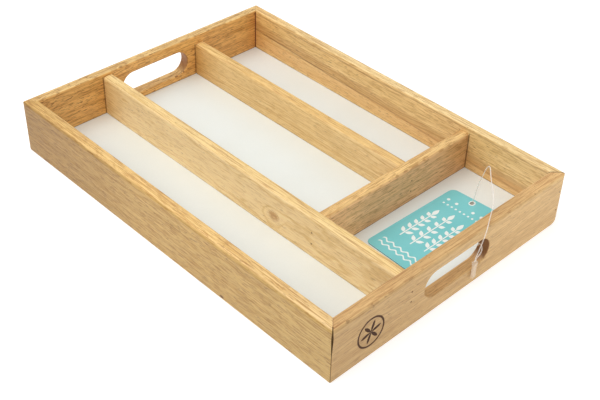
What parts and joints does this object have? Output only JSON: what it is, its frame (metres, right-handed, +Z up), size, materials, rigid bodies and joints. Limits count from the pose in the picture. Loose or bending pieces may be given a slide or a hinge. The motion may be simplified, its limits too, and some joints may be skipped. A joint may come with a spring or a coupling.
{
  "type": "cutlery tray",
  "caption": "Shallow wooden tray divided into compartments for cutlery, with a hand slot in each end, a white base panel and a card tag tied on by a nylon loop.",
  "frame": {"origin": "middle of the tray's underside, on the surface it stands on", "axes": "+X along the tray towards the end with the wide cross compartment and the tag, +Y across the tray towards the short divider's side, +Z up"},
  "size_m": [0.3838, 0.27, 0.075],
  "materials": {
    "rubberwood": "lacquered pale hardwood, satin, with fine open pores",
    "white_board": "hardboard with a matt white melamine face",
    "steel": "dull wire brads",
    "printed_card": "printed card, turquoise with a plain white pattern",
    "clear_nylon": "clear nylon"
  },
  "bodies": {
    "tray": {"front_long_side": "rubberwood", "back_long_side": "rubberwood", "left_end": "rubberwood", "right_end": "rubberwood", "base_panel": "white_board", "long_divider": "rubberwood", "short_divider": "rubberwood", "cross_divider": "rubberwood", "brads_corner_front_left": "steel", "brads_corner_front_right": "steel", "brads_corner_back_left": "steel", "brads_corner_back_right": "steel", "brads_long_divider_left": "steel", "brads_long_divider_right": "steel", "brads_short_divider_left": "steel", "brads_short_divider_cross": "steel", "brads_cross_divider_front": "steel", "brads_cross_divider_back": "steel", "tag_loop": "clear_nylon", "tag_loop_lock": "clear_nylon"},
    "tag": {"hang_tag": "printed_card"}
  },
  "joints": [
    {"name": "tag_lift", "type": "hinge", "parent": "tray", "child": "tag", "pos_m": [0.13695, 0.08946, 0.01416], "axis": [-0.9993, 0.0384, 0], "range_deg": [0, 125], "deforming": ["tag_loop"]}
  ]
}
